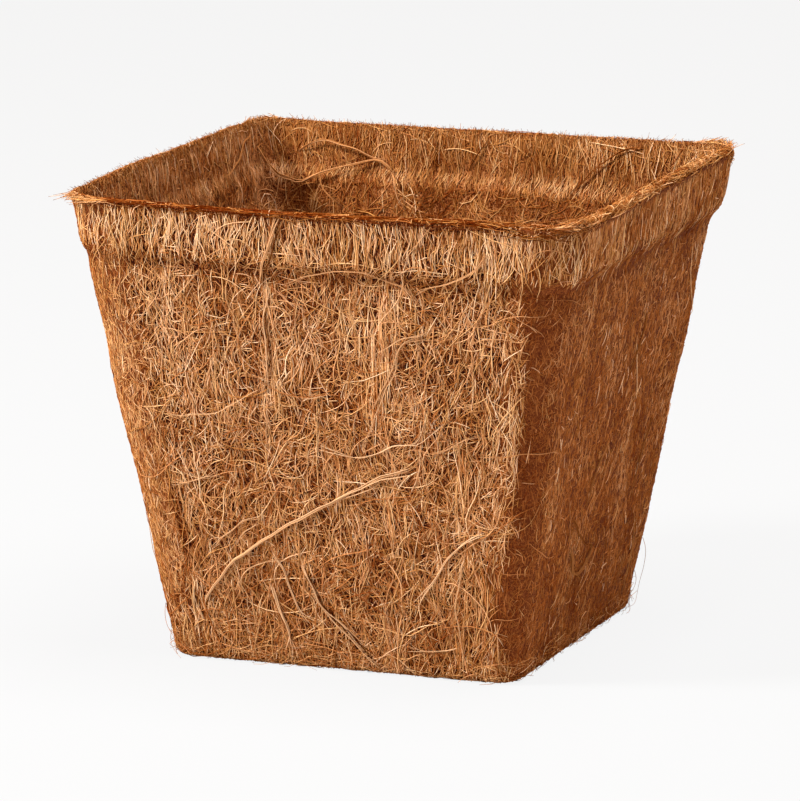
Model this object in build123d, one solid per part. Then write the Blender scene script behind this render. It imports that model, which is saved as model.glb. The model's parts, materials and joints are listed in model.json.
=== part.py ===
from build123d import *
import os
from math import cos, hypot, radians, sin, tan

# Square plant pot of pressed coconut fibre felt, open at the top.
# Millimetres, +Z up, origin at the middle of the foot, front wall facing -Y.

# Outside of the pot
HEIGHT = 100.0              # ground to the top of the lip
BASE_SPAN = 78.0            # across the foot, wall to wall, before its edge is rounded
WALL_DRAFT = 9.6            # degrees by which the walls and the collar lean outwards
COLLAR_HEIGHT = 11.2        # shoulder to the top of the lip
SHOULDER_RISE = 2.2         # height over which the shoulder steps out
SHOULDER_STEP = 1.5         # how far the shoulder steps out
LIP_REACH = 2.0             # how far the lip stands out beyond the collar
FOOT_CORNER_RADIUS = 5.5    # upright corners, at the foot
RIM_CORNER_RADIUS = 10.0    # upright corners, at the rim
FOOT_EDGE_RADIUS = 2.5      # edge between the walls and the ground

# Felt pads and the pressed laps between them
FELT = 2.0                  # thickness of the pressed felt
LAP = 5.0                   # length over which one pad thins out and the next takes over
BASE_SETBACK = 2.0          # base mat's upper edge to the inner face of the walls
CUT_MARGIN = 1.0            # cuts run this far past the felt

# Coarse strands that lie on the felt
COARSE = 1.0                # strand diameters
MIDDLE = 0.7
FINE = 0.5
STRAND_CLEARANCE = 0.05     # film of binder between a strand and the felt
ARC_SHARE = 0.45            # share of the shorter run that each bend takes up

SLOPE = tan(radians(WALL_DRAFT))
WALL_FELT = FELT / cos(radians(WALL_DRAFT))    # felt of a leaning wall, measured level
SHOULDER_FELT = FELT * hypot(SHOULDER_STEP, SHOULDER_RISE) / SHOULDER_RISE    # the shoulder's, measured level
SHOULDER_FOOT = HEIGHT - COLLAR_HEIGHT - SHOULDER_RISE
COLLAR_FOOT = HEIGHT - COLLAR_HEIGHT
LIP_UNDERSIDE = HEIGHT - FELT
WALL_NAMES = ["front", "right", "back", "left"]
CORNER_NAMES = ["front_right", "back_right", "back_left", "front_left"]
QUARTER_TURN = 90

# Routes of the coarse strands: diameter, then points as shares of the face, first across it,
# from -1 to 1 between its two edges, then up it, from 0 at the ground to 1 at the shoulder.
OUTER_ROUTES = {
    "front": [
        (COARSE, [(-0.74, 0.15), (-0.54, 0.26), (-0.24, 0.36), (0.03, 0.44), (0.27, 0.51), (0.42, 0.53)]),
        (COARSE, [(-0.35, 0.22), (-0.31, 0.15), (-0.27, 0.08), (-0.26, 0.03)]),
        (MIDDLE, [(-0.18, 0.28), (-0.13, 0.22), (-0.07, 0.16), (0.08, 0.10), (0.19, 0.05)]),
        (MIDDLE, [(-0.32, 0.30), (-0.26, 0.25), (-0.23, 0.18), (-0.16, 0.10)]),
        (FINE, [(-0.64, 0.29), (-0.44, 0.37), (-0.30, 0.38)]),
        (FINE, [(-0.20, 0.97), (-0.23, 0.87), (-0.23, 0.77), (-0.25, 0.68)]),
        (FINE, [(-0.04, 0.58), (0.06, 0.56), (0.18, 0.55), (0.32, 0.59), (0.44, 0.60), (0.50, 0.68)]),
        (FINE, [(0.47, 0.87), (0.36, 0.85), (0.30, 0.76), (0.23, 0.66)]),
        (MIDDLE, [(0.77, 0.39), (0.66, 0.36), (0.58, 0.31), (0.50, 0.24), (0.43, 0.18)]),
        (FINE, [(0.69, 0.09), (0.52, 0.07), (0.36, 0.08)]),
        (FINE, [(-0.79, 0.45), (-0.65, 0.46), (-0.51, 0.50)]),
    ],
    "right": [
        (MIDDLE, [(0.20, 0.83), (0.15, 0.74), (0.07, 0.66)]),
        (MIDDLE, [(-0.05, 0.53), (-0.19, 0.47), (-0.27, 0.38)]),
        (COARSE, [(-0.42, 0.30), (-0.32, 0.22), (-0.16, 0.20), (0.00, 0.26)]),
        (FINE, [(0.62, 0.52), (0.52, 0.44), (0.45, 0.32)]),
    ],
    "back": [
        (MIDDLE, [(-0.66, 0.70), (-0.46, 0.64), (-0.24, 0.66), (-0.05, 0.76)]),
        (COARSE, [(0.62, 0.22), (0.44, 0.32), (0.22, 0.36), (0.00, 0.32)]),
        (FINE, [(0.60, 0.86), (0.52, 0.74), (0.50, 0.60)]),
        (FINE, [(-0.55, 0.12), (-0.36, 0.18), (-0.22, 0.28)]),
        (MIDDLE, [(-0.62, 0.46), (-0.44, 0.42), (-0.28, 0.47)]),
    ],
    "left": [
        (MIDDLE, [(-0.58, 0.82), (-0.40, 0.76), (-0.20, 0.78), (-0.04, 0.86)]),
        (COARSE, [(-0.62, 0.30), (-0.42, 0.24), (-0.18, 0.26), (0.02, 0.36)]),
        (FINE, [(0.56, 0.72), (0.46, 0.60), (0.48, 0.48)]),
        (MIDDLE, [(0.60, 0.14), (0.42, 0.20), (0.26, 0.16)]),
        (FINE, [(-0.30, 0.56), (-0.12, 0.60), (0.04, 0.54)]),
    ],
}
INNER_ROUTES = {
    "front": [
        (MIDDLE, [(-0.50, 0.72), (-0.32, 0.66), (-0.10, 0.70), (0.08, 0.80)]),
        (FINE, [(0.40, 0.44), (0.24, 0.38), (0.06, 0.42)]),
    ],
    "right": [
        (MIDDLE, [(0.48, 0.84), (0.32, 0.76), (0.12, 0.74), (-0.08, 0.80)]),
        (FINE, [(-0.44, 0.52), (-0.28, 0.46), (-0.10, 0.48)]),
    ],
    "back": [
        (MIDDLE, [(-0.38, 0.96), (-0.46, 0.86), (-0.58, 0.78)]),
        (FINE, [(0.42, 0.95), (0.34, 0.84), (0.20, 0.78), (0.04, 0.82)]),
        (FINE, [(0.52, 0.50), (0.36, 0.42), (0.16, 0.44)]),
    ],
    "left": [
        (MIDDLE, [(-0.12, 0.96), (-0.06, 0.85), (-0.10, 0.74)]),
        (FINE, [(0.46, 0.58), (0.28, 0.64), (0.10, 0.60)]),
    ],
}
# On the floor both shares run from -1 to 1 between the inner faces of the walls.
FLOOR_ROUTES = [
    (MIDDLE, [(-0.62, -0.40), (-0.38, -0.22), (-0.10, -0.28), (0.14, -0.16)]),
    (FINE, [(0.60, 0.10), (0.40, 0.30), (0.14, 0.34)]),
    (FINE, [(-0.50, 0.56), (-0.28, 0.44), (-0.08, 0.56)]),
]


def outer_profile():
    """Half of the pot's outline, from the middle of the foot to the edge of the lip, as (half width, height)."""
    wall_top = BASE_SPAN / 2 + SLOPE * SHOULDER_FOOT
    collar_foot = wall_top + SHOULDER_STEP
    collar_top = collar_foot + SLOPE * (LIP_UNDERSIDE - COLLAR_FOOT)
    return [
        (0.0, 0.0),
        (BASE_SPAN / 2, 0.0),
        (wall_top, SHOULDER_FOOT),
        (collar_foot, COLLAR_FOOT),
        (collar_top, LIP_UNDERSIDE),
        (collar_top + LIP_REACH, LIP_UNDERSIDE),
    ]


def inset_profile(points, depth):
    """The corners of an outline moved inwards by depth, square to each of its runs."""
    lines = []
    for (half_a, z_a), (half_b, z_b) in zip(points, points[1:]):
        length = hypot(half_b - half_a, z_b - z_a)
        along = ((half_b - half_a) / length, (z_b - z_a) / length)
        start = (half_a - along[1] * depth, z_a + along[0] * depth)
        lines.append((start, along))
    corners = []
    for (start_a, along_a), (start_b, along_b) in zip(lines, lines[1:]):
        cross = along_a[0] * along_b[1] - along_a[1] * along_b[0]
        gap = (start_b[0] - start_a[0], start_b[1] - start_a[1])
        share = (gap[0] * along_b[1] - gap[1] * along_b[0]) / cross
        corners.append((start_a[0] + share * along_a[0], start_a[1] + share * along_a[1]))
    return corners


def corner_radius(height):
    """Radius of the upright corners on the outside, which open towards the rim."""
    return FOOT_CORNER_RADIUS + (RIM_CORNER_RADIUS - FOOT_CORNER_RADIUS) * height / HEIGHT


def rounded_square(half, radius, height):
    """Level square with round corners."""
    return Pos(0, 0, height) * RectangleRounded(2 * half, 2 * half, radius)


def felt_shell():
    """The whole pressed felt, all pads in one, from which the pads are cut."""
    outside = outer_profile()
    levels = [rounded_square(half, corner_radius(z), z) for half, z in outside[1:-1]]
    body = loft(levels, ruled=True)
    foot_edges = body.faces().sort_by(Axis.Z)[0].edges()
    body = fillet(foot_edges, FOOT_EDGE_RADIUS)
    lip_half = outside[-1][0]
    lip_radius = RIM_CORNER_RADIUS + LIP_REACH
    body += extrude(rounded_square(lip_half, lip_radius, LIP_UNDERSIDE), FELT)
    inside = inset_profile(outside, FELT)
    rim_half, rim_height = inside[-1]
    inside.append((rim_half + SLOPE * CUT_MARGIN, rim_height + CUT_MARGIN))
    hollow = [rounded_square(half, corner_radius(z) - FELT, z) for half, z in inside]
    return body - loft(hollow, ruled=True)


def base_space():
    """Space of the base mat: its sides slant through the floor, so that it laps over the wall pads' feet."""
    floor_half = inset_profile(outer_profile(), FELT)[0][0]
    upper_span = 2 * (floor_half - BASE_SETBACK)
    lower_span = upper_span - 4 * LAP
    lower = Pos(0, 0, -FELT) * Rectangle(lower_span, lower_span)
    upper = Pos(0, 0, FELT) * Rectangle(upper_span, upper_span)
    return loft([lower, upper], ruled=True)


def wall_space():
    """Space of the front wall's pad: its ends slant through the felt, so that they lap under the corner strips."""
    slant = LAP / FELT
    outward = LIP_REACH + CUT_MARGIN
    inward = SHOULDER_FELT
    toe = inset_profile(outer_profile(), FELT)[0][0] - BASE_SETBACK - 2 * LAP
    levels = outer_profile()[1:-1]
    top_half = levels[-1][0]
    below = (levels[0][0], -CUT_MARGIN)
    above = (top_half, HEIGHT + CUT_MARGIN)
    sections = []
    for half, z in [below] + levels + [above]:
        flat = half - corner_radius(z)
        outer_end = flat - LAP - slant * outward
        inner_end = flat - LAP + slant * inward
        outline = [
            (-outer_end, -half - outward),
            (outer_end, -half - outward),
            (inner_end, -half + inward),
            (toe, -toe),
            (-toe, -toe),
            (-inner_end, -half + inward),
        ]
        sections.append(Pos(0, 0, z) * make_face(Polyline(*outline, close=True)))
    return loft(sections, ruled=True)


def tube(points, diameter):
    """Round strand along straight runs joined by arcs as wide as the runs allow."""
    radii = []
    for before, corner, after in zip(points, points[1:], points[2:]):
        shorter = min((corner - before).length, (after - corner).length)
        turn = radians((corner - before).get_angle(after - corner))
        radii.append(ARC_SHARE * shorter / tan(turn / 2))
    path = FilletPolyline(*points, radius=radii)
    section = Plane(origin=path @ 0, z_dir=path % 0) * Circle(diameter / 2)
    return sweep(section, path=path)


def wall_strand(route, diameter, inside):
    """Strand on the front wall, on its outer or its inner face."""
    lean = radians(WALL_DRAFT)
    lift = diameter / 2 + STRAND_CLEARANCE
    face_shift = -WALL_FELT if inside else 0.0
    side = -1 if inside else 1
    points = []
    for across, up in route:
        z = up * SHOULDER_FOOT
        half = BASE_SPAN / 2 + SLOPE * z + face_shift
        on_face = Vector(across * half, -half, z)
        points.append(on_face + Vector(0, -cos(lean), -sin(lean)) * (side * lift))
    return tube(points, diameter)


def floor_strand(route, diameter):
    """Strand that lies on the floor inside the pot."""
    floor_half = inset_profile(outer_profile(), FELT)[0][0]
    height = FELT + diameter / 2 + STRAND_CLEARANCE
    return tube([Vector(x * floor_half, y * floor_half, height) for x, y in route], diameter)


def save(name, shape):
    """Writes one piece as a STEP file of its own."""
    export_step(shape, os.path.join("parts", name + ".step"))
    print(name, len(shape.solids()), "solids", round(shape.volume, 1), "mm3")


def main():
    os.makedirs("parts", exist_ok=True)
    shell = felt_shell()
    mat_space = base_space()
    pad_space = wall_space() - mat_space
    save("base_mat", shell & mat_space)
    corner_shell = shell - mat_space
    for turn, name in enumerate(WALL_NAMES):
        space = Rot(0, 0, turn * QUARTER_TURN) * pad_space
        save(name + "_wall", shell & space)
        corner_shell -= space
    corners = corner_shell.solids()
    for turn, name in enumerate(CORNER_NAMES):
        towards = Vector(1, -1, 0).rotate(Axis.Z, turn * QUARTER_TURN)
        save(name + "_corner", max(corners, key=lambda solid: solid.center().dot(towards)))
    for inside, routes, suffix in [(False, OUTER_ROUTES, "_strands"), (True, INNER_ROUTES, "_inner_strands")]:
        for turn, name in enumerate(WALL_NAMES):
            strands = [wall_strand(route, diameter, inside) for diameter, route in routes[name]]
            save(name + suffix, Rot(0, 0, turn * QUARTER_TURN) * Compound(children=strands))
    save("floor_strands", Compound(children=[floor_strand(route, diameter) for diameter, route in FLOOR_ROUTES]))


main()
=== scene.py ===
# %% [markdown]
# # A square plant pot of coir felt
# The pot is pressed in a heated mould from pads of coconut fibre that were sprayed with latex.
# Its solids are packed already, so this lesson gives them their looks: nine felt pads, and on them
# the thousands of fibres that the eye really sees. Nothing on the pot moves, so every piece rides
# on the one body, "root". The pot's lengths are in millimetres until the last step of each piece.

# %% Load the solids as a fixed frame
import json
import math
from dataclasses import dataclass, replace
from functools import partial
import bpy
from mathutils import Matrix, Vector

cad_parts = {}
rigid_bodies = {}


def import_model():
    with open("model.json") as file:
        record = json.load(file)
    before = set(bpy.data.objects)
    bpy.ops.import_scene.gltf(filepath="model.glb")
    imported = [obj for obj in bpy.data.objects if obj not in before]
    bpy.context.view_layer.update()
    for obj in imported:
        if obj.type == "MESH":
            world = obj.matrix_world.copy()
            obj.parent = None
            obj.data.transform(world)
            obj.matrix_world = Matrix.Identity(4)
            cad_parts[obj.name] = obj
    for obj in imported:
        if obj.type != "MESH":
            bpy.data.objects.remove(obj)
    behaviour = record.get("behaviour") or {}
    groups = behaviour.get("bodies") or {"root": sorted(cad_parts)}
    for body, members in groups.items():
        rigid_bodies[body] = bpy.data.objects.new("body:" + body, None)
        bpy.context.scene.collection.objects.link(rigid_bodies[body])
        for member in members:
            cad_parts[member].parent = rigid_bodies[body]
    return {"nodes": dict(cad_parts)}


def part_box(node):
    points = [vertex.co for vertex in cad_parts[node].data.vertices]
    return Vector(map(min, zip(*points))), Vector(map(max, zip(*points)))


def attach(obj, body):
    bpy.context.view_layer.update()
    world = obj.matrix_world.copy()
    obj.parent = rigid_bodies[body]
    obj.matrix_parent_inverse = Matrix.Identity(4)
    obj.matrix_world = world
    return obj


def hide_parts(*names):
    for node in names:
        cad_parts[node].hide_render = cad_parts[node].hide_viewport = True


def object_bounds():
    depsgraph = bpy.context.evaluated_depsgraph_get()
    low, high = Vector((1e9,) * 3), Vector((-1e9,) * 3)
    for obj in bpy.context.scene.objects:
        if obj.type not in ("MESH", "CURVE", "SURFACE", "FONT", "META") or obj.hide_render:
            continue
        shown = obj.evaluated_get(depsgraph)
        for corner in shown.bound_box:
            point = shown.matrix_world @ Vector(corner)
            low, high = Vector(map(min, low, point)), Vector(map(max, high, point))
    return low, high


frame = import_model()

from types import SimpleNamespace
import bmesh
import bpy
import numpy as np
from mathutils import Vector

CAD_BOX = [list(corner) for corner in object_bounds()]
MM = 0.001
print("nodes", len(frame["nodes"]), "box in mm", np.round(np.array(CAD_BOX) / MM, 1).tolist())

# %% [markdown]
# ## The pot's outline
# A pot like this is one outline carried round a square with round corners. The outline has two
# faces, one outside and one inside, a felt's thickness apart. Each is a bent line of a few corners,
# and felt eases over the bends of its mould, so the line is sampled finely and averaged over a
# short stretch. That rounds every bend alike, with no list of arcs to keep.

# %% Sizes of the pot, in millimetres
HEIGHT = CAD_BOX[1][2] / MM
BASE_HALF = 39.0
WALL_ANGLE = math.radians(9.6)
SLOPE = math.tan(WALL_ANGLE)
SHOULDER_FOOT, COLLAR_FOOT = 86.6, 88.8
SHOULDER_STEP = 1.5
FELT = 2.0
LIP_UNDERSIDE = HEIGHT - FELT
FOOT_CORNER_RADIUS, RIM_CORNER_RADIUS = 5.5, 10.0
WALL_TOP = BASE_HALF + SLOPE * SHOULDER_FOOT
COLLAR_HALF = WALL_TOP + SHOULDER_STEP
COLLAR_TOP = COLLAR_HALF + SLOPE * (LIP_UNDERSIDE - COLLAR_FOOT)
INNER = FELT / math.cos(WALL_ANGLE)
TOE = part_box("base_mat")[1][0] / MM - 2.5     # where the walls' turned-in feet meet the base mat
FUZZ = 0.27           # depth of the loose fibres on each face, which the pressed core lies under
CORE = FELT - 2 * FUZZ
LIP_FLARE = 0.2       # how far the core's cut edge flares past the collar; the lip's rest is loose fibre
LIP_CORE = COLLAR_TOP + LIP_FLARE
CREASE = 0.15         # the press leaves the shoulder this much sharper than the mould, in and out
LEAST_BEND = 1.0      # radius that a corner keeps even on the inside of the felt
STEP = 0.25           # between two samples of a line
EASE, EDGE_EASE = 2.0, 0.8    # stretch that a bend is averaged over, on the outline and on the lip's edge


def eased(corners, ease):
    """Samples along a line with corners, and the distance along it. Its bends are averaged over a stretch."""
    corners = np.array(corners, dtype=float)
    along = np.r_[0.0, np.cumsum(np.linalg.norm(np.diff(corners, axis=0), axis=1))]
    steps = np.arange(0.0, along[-1] + STEP / 2, STEP)
    line = np.stack([np.interp(steps, along, column) for column in corners.T], axis=1)
    reach = min(round(ease / STEP / 2), len(line) - 1)
    kernel = np.hanning(2 * reach + 3)[1:-1]
    kernel /= kernel.sum()
    before = 2 * line[0] - line[reach:0:-1]
    after = 2 * line[-1] - line[-2:-reach - 2:-1]
    padded = np.vstack([before, line, after])
    return steps, np.stack([np.convolve(column, kernel, "valid") for column in padded.T], axis=1)


def felt_face(corners, side, ease=EASE):
    """One face of the felt: its samples, and the direction that it faces, for side 1 outside or -1 inside."""
    t, line = eased(corners, ease)
    run = np.gradient(line, axis=0)
    run /= np.linalg.norm(run, axis=1)[:, None]
    return SimpleNamespace(t=t, half=line[:, 0], z=line[:, 1], out=side * run[:, 1], up=-side * run[:, 0])


OUTSIDE = felt_face([(TOE, FUZZ), (BASE_HALF - FUZZ - 0.8, FUZZ), (BASE_HALF - FUZZ + SLOPE, FUZZ + 1.0),
                     (WALL_TOP - SLOPE * 3 - FUZZ, SHOULDER_FOOT - 3),
                     (WALL_TOP - CREASE - FUZZ, SHOULDER_FOOT), (COLLAR_HALF + CREASE - FUZZ, COLLAR_FOOT),
                     (COLLAR_TOP - FUZZ, HEIGHT - 1.5), (LIP_CORE, HEIGHT - 0.75)], 1)
set_back = np.stack([OUTSIDE.half - CORE * OUTSIDE.out, OUTSIDE.z - CORE * OUTSIDE.up], axis=1)
INSIDE = felt_face(np.vstack([(TOE, FUZZ + CORE), set_back[set_back[:, 1] > 2 * FELT]]), -1, STEP)
# The lip's rolled edge: thin at the back and on the left, deeper in front, and broad on the right.
CREST = [(LIP_CORE, HEIGHT - 0.8), (LIP_CORE - 1.1, HEIGHT - 0.2), (LIP_CORE - 1.7, HEIGHT - 0.8)]
EDGE = felt_face([(COLLAR_TOP - 0.35, HEIGHT - 1.6)] + CREST, 1, EDGE_EASE)
FRONT_FOOT = [(COLLAR_TOP - 0.55, HEIGHT - 2.7), (COLLAR_TOP - 0.3, HEIGHT - 1.6)]
FRONT_EDGE = felt_face(FRONT_FOOT + CREST, 1, EDGE_EASE)
BROAD_EDGE = felt_face([(COLLAR_TOP - 0.4, HEIGHT - 2.2), (LIP_CORE - 0.1, HEIGHT - 1.0),
                        (LIP_CORE + 0.1, HEIGHT - 0.6), (LIP_CORE - 1.1, HEIGHT - 0.1),
                        (LIP_CORE - 1.8, HEIGHT - 0.7), (LIP_CORE - 2.3, HEIGHT - 2.4)], 1, EDGE_EASE)
EDGES = [FRONT_EDGE, BROAD_EDGE, EDGE, EDGE]


def corner_radius(z):
    """Radius of the pot's corners at a height."""
    return FOOT_CORNER_RADIUS + (RIM_CORNER_RADIUS - FOOT_CORNER_RADIUS) * z / HEIGHT


def bend_length(z):
    """Length of the way round a corner at a height."""
    return corner_radius(z) * math.pi / 2


def flat_half(z):
    """Half the length of a wall's flat stretch at a height, up to where its corners begin."""
    heights = [0, SHOULDER_FOOT, COLLAR_FOOT, HEIGHT]
    return np.interp(z, heights, [BASE_HALF, WALL_TOP, COLLAR_HALF, COLLAR_TOP]) - corner_radius(z)


def at(face, t):
    """Half the width, the height and half the flat stretch of a face at distances up its outline."""
    half, z = np.interp(t, face.t, face.half), np.interp(t, face.t, face.z)
    return half, z, np.minimum(flat_half(z), half - LEAST_BEND)


def up_to(face, z):
    """Distance up a face's outline at which it reaches a height on the wall."""
    wall = slice(np.argmax(face.z > face.z[0] + 0.1), len(face.z))
    return np.interp(z, face.z[wall], face.t[wall])


print("outline outside", OUTSIDE.t[-1], "mm long, inside", INSIDE.t[-1], "mm, rim edge", EDGE.t[-1], "mm")

# %% [markdown]
# ## From a flat sheet to the pot
# Felt and fibres are drawn on a flat sheet first: x runs along a wall from its middle, and t runs
# up the outline. One function then bends any such point round the pot. Past the flat stretch it
# goes round the corner and on along the next wall, so a fibre can lie across a corner. The felt
# also swells and sinks a little, as pressed fibre does, by a sum of slow waves in space. Outside
# and inside read the same waves, so the felt keeps its thickness. No press is quite true either:
# this pot's collar leans a little to the right and stands higher at the back and on the left, and
# its shoulder runs a little downhill.

# %% The slow waves, and the bend from sheet to pot
SETTLE = 12.0         # height over which the waves fade in, so that the foot stays flat
COLLAR_LEAN = 0.9     # how far the collar leans to the right
SHOULDER_TILT = 0.014 # how fast the shoulder runs downhill to the right, by its width
TILT_REACH = 12.0     # how far above and below the shoulder that is felt
COLLAR_RISE = 1.3     # how much higher the collar stands on the left
BACK_RISE = 0.75      # share of that rise at the back
LOWEST = 0.05         # nothing comes closer to the ground


def rising(values, start, end):
    """0 up to the start, 1 from the end on, and evenly between them."""
    return np.clip((values - start) / (end - start), 0, 1)


def peak(values, middle, width, power=2):
    """1 in the middle, and falling to 0 on both sides of it. A higher power gives a flatter top."""
    return np.exp(-((values - middle) / width) ** power)


def slow_waves(seed, count, shortest, longest, dimensions):
    """Lengths, directions, as wave numbers, and starts of random plane waves."""
    draw = np.random.default_rng(seed)
    lengths = draw.uniform(shortest, longest, count)
    ways = draw.normal(size=(count, dimensions))
    ways *= (2 * math.pi / lengths / np.linalg.norm(ways, axis=1))[:, None]
    return lengths, ways, draw.uniform(0, 2 * math.pi, count)


LUMP_LENGTHS, LUMP_WAYS, LUMP_STARTS = slow_waves(7, 14, 11.0, 46.0, 3)
LUMP_RISES = 0.0026 * LUMP_LENGTHS


def lumps(points):
    """How far the felt swells outwards at points of the pot."""
    return np.sin(points @ LUMP_WAYS.T + LUMP_STARTS) @ LUMP_RISES * np.clip(points[..., 2] / SETTLE, 0, 1)


def collar_rise(points):
    """How far the collar is raised at points of the pot: most on the left, less at the back, not in front."""
    x, y, z = points[..., 0], points[..., 1], points[..., 2]
    back = rising(y, -25.0, 35.0)
    left = rising(-x, 20.0, 50.0) * (0.45 + 0.55 * rising(y, -58.0, -18.0))
    return COLLAR_RISE * np.maximum(BACK_RISE * back, left) * rising(z, SHOULDER_FOOT - 1, SHOULDER_FOOT + 3)


def on_felt(face, wall, x, t, lift=0.0):
    """Points of the pot at x along a wall and t up its outline, standing off the felt by lift."""
    x, t = np.broadcast_arrays(x, np.clip(t, 0, face.t[-1]))
    half, z, flat = at(face, t)
    out, up = np.interp(t, face.t, face.out), np.interp(t, face.t, face.up)
    radius = half - flat
    past = np.abs(x) - flat
    turn = np.clip(past / radius, 0, math.pi / 2)
    beyond = np.maximum(past - radius * math.pi / 2, 0)
    across = np.sign(x) * (np.minimum(np.abs(x), flat) + radius * np.sin(turn))
    depth = -flat - radius * np.cos(turn) + beyond
    outward = np.stack([np.sign(x) * np.sin(turn), -np.cos(turn), 0 * turn], axis=-1)
    facing = outward * out[..., None] + up[..., None] * np.array([0, 0, 1])
    points = np.stack([across, depth, z], axis=-1)
    c, s = [(1, 0), (0, 1), (-1, 0), (0, -1)][wall]
    quarter = np.array([[c, s, 0], [-s, c, 0], [0, 0, 1]])
    points, facing, outward = points @ quarter, facing @ quarter, outward @ quarter
    points = points + facing * np.asarray(lift)[..., None] + outward * lumps(points)[..., None]
    near = np.clip(1 - np.abs(points[..., 2] - COLLAR_FOOT) / TILT_REACH, 0, 1)
    points[..., 2] = np.maximum(points[..., 2] - SHOULDER_TILT * points[..., 0] * near, LOWEST)
    points[..., 0] += COLLAR_LEAN * rising(points[..., 2], SHOULDER_FOOT - 2, SHOULDER_FOOT + 4)
    points[..., 2] += collar_rise(points)
    return points


WALLS = ["front", "right", "back", "left"]
trial = on_felt(OUTSIDE, 0, np.linspace(-40, 40, 99), 50.0)
print("felt swells by up to", round(float(np.abs(lumps(trial)).max()), 2), "mm along the front wall")

# %% [markdown]
# ## Small helpers for the materials
# Colours are written as sRGB hex values, the way that a colour picker shows them, and Blender's
# shaders want linear light. One function turns one into the other. A second adds a node, sets its
# values and links its inputs, so that a material reads as a short list of steps.


# %% Colour and node helpers
def linear(code):
    """Linear RGBA of an sRGB hex colour such as #a0673c."""
    parts = [int(code[i:i + 2], 16) / 255 for i in (1, 3, 5)]
    return [c / 12.92 if c <= 0.04045 else ((c + 0.055) / 1.055) ** 2.4 for c in parts] + [1.0]


def add(tree, kind, inputs=None, stops=(), **settings):
    """Adds a node. A value in inputs is set on the socket, and another node's socket is linked to it.

    stops are the (place, hex colour) stops of a colour ramp."""
    new = tree.nodes.new("ShaderNode" + kind)
    for name, value in settings.items():
        setattr(new, name, value)
    for name, value in (inputs or {}).items():
        if isinstance(value, bpy.types.NodeSocket):
            tree.links.new(value, new.inputs[name])
        else:
            new.inputs[name].default_value = value
    band = new.color_ramp.elements if stops else []
    while len(band) < len(stops):
        band.new(0.5)
    for element, (place, code) in zip(band, stops):
        element.position = place
        element.color = linear(code)
    return new


def new_material(name):
    """An empty material, and its tree of nodes."""
    made = bpy.data.materials.new(name)
    made.use_nodes = True
    made.node_tree.nodes.clear()
    return made, made.node_tree


def surface(tree, inputs):
    """Ends a material with its shader and the output."""
    shader = add(tree, "BsdfPrincipled", inputs)
    add(tree, "OutputMaterial", {"Surface": shader.outputs["BSDF"]})


print("helpers ready")

# %% [markdown]
# ## Coir fibre
# Coir is the husk of the coconut: woody, dry and matt, with no gloss to speak of. Fibres differ in
# colour because they ripened differently: some are rust, others straw, and each of those
# runs from dark to light. Each fibre carries a small UV map of its own: across it is the fibre's
# place on those two ramps, and up it is the way in from the nearest end. The material reads both, so
# one material serves every fibre, and a bake through that map needs no room for each fibre.

# %% Materials of fibre and felt
FIBRE_MAP = "OFBake"


def coir_fibre(name, stops, roughness):
    """Dry coir fibre, combed from the husk: matt, with a tint of its own.

    Its ends are painted darker: painted shade where they dive into the felt.
    """
    made, tree = new_material(name)
    place = add(tree, "UVMap", uv_map=FIBRE_MAP)
    parts = add(tree, "SeparateXYZ", {"Vector": place.outputs["UV"]}).outputs
    tint = add(tree, "ValToRGB", {"Fac": parts["X"]}, stops)
    # The darker ends are painted shade, where a fibre dives into the felt.
    ends = add(tree, "ValToRGB", {"Fac": parts["Y"]}, [(0.0, "#5e3a24"), (0.4, "#ffffff")])
    mixed = add(tree, "Mix", {"Factor": 1.0, "A": tint.outputs["Color"], "B": ends.outputs["Color"]},
                data_type="RGBA", blend_type="MULTIPLY")
    surface(tree, {"Base Color": mixed.outputs["Result"], "Roughness": roughness, "Specular IOR Level": 0.0})
    return made


RUST = ["#420c00", "#783914", "#a56432", "#cd9564", "#e6bb93"]
STRAW = ["#481400", "#80461a", "#ae753e", "#d5a46f", "#edc9a2"]
HUSK = ["#3a1203", "#74401a", "#a46d3e", "#c0946b", "#dab58f"]
STOPS = [(0.499 * i / 4, code) for i, code in enumerate(RUST)]
STOPS += [(0.501 + 0.499 * i / 4, code) for i, code in enumerate(STRAW)]
FIBRE = coir_fibre("coir_fibre_dry", STOPS, 0.65)
# Strands that the combing didn't open keep some pith, so they are paler and greyer than the fibres.
STRAND = coir_fibre("coir_strand_unopened", [(i / 4, code) for i, code in enumerate(HUSK)], 0.6)
DARKEST, LIGHTEST = 0.03, 0.97    # tints stay this far inside their ramp


def shades(draw, tints, straw):
    """Places on the tint map for tints from 0, dark, to 1, light. A share of the fibres are straw."""
    return (np.clip(tints, DARKEST, LIGHTEST) + (draw.uniform(size=len(tints)) < straw)) / 2


STREAKS = [(0.15, 0.33), (0.85, 0.36), (-0.7, 0.36), (1.4, 0.4)]    # turn and width of the mat's streaks
STREAK_LENGTH = 12    # times their width


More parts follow.
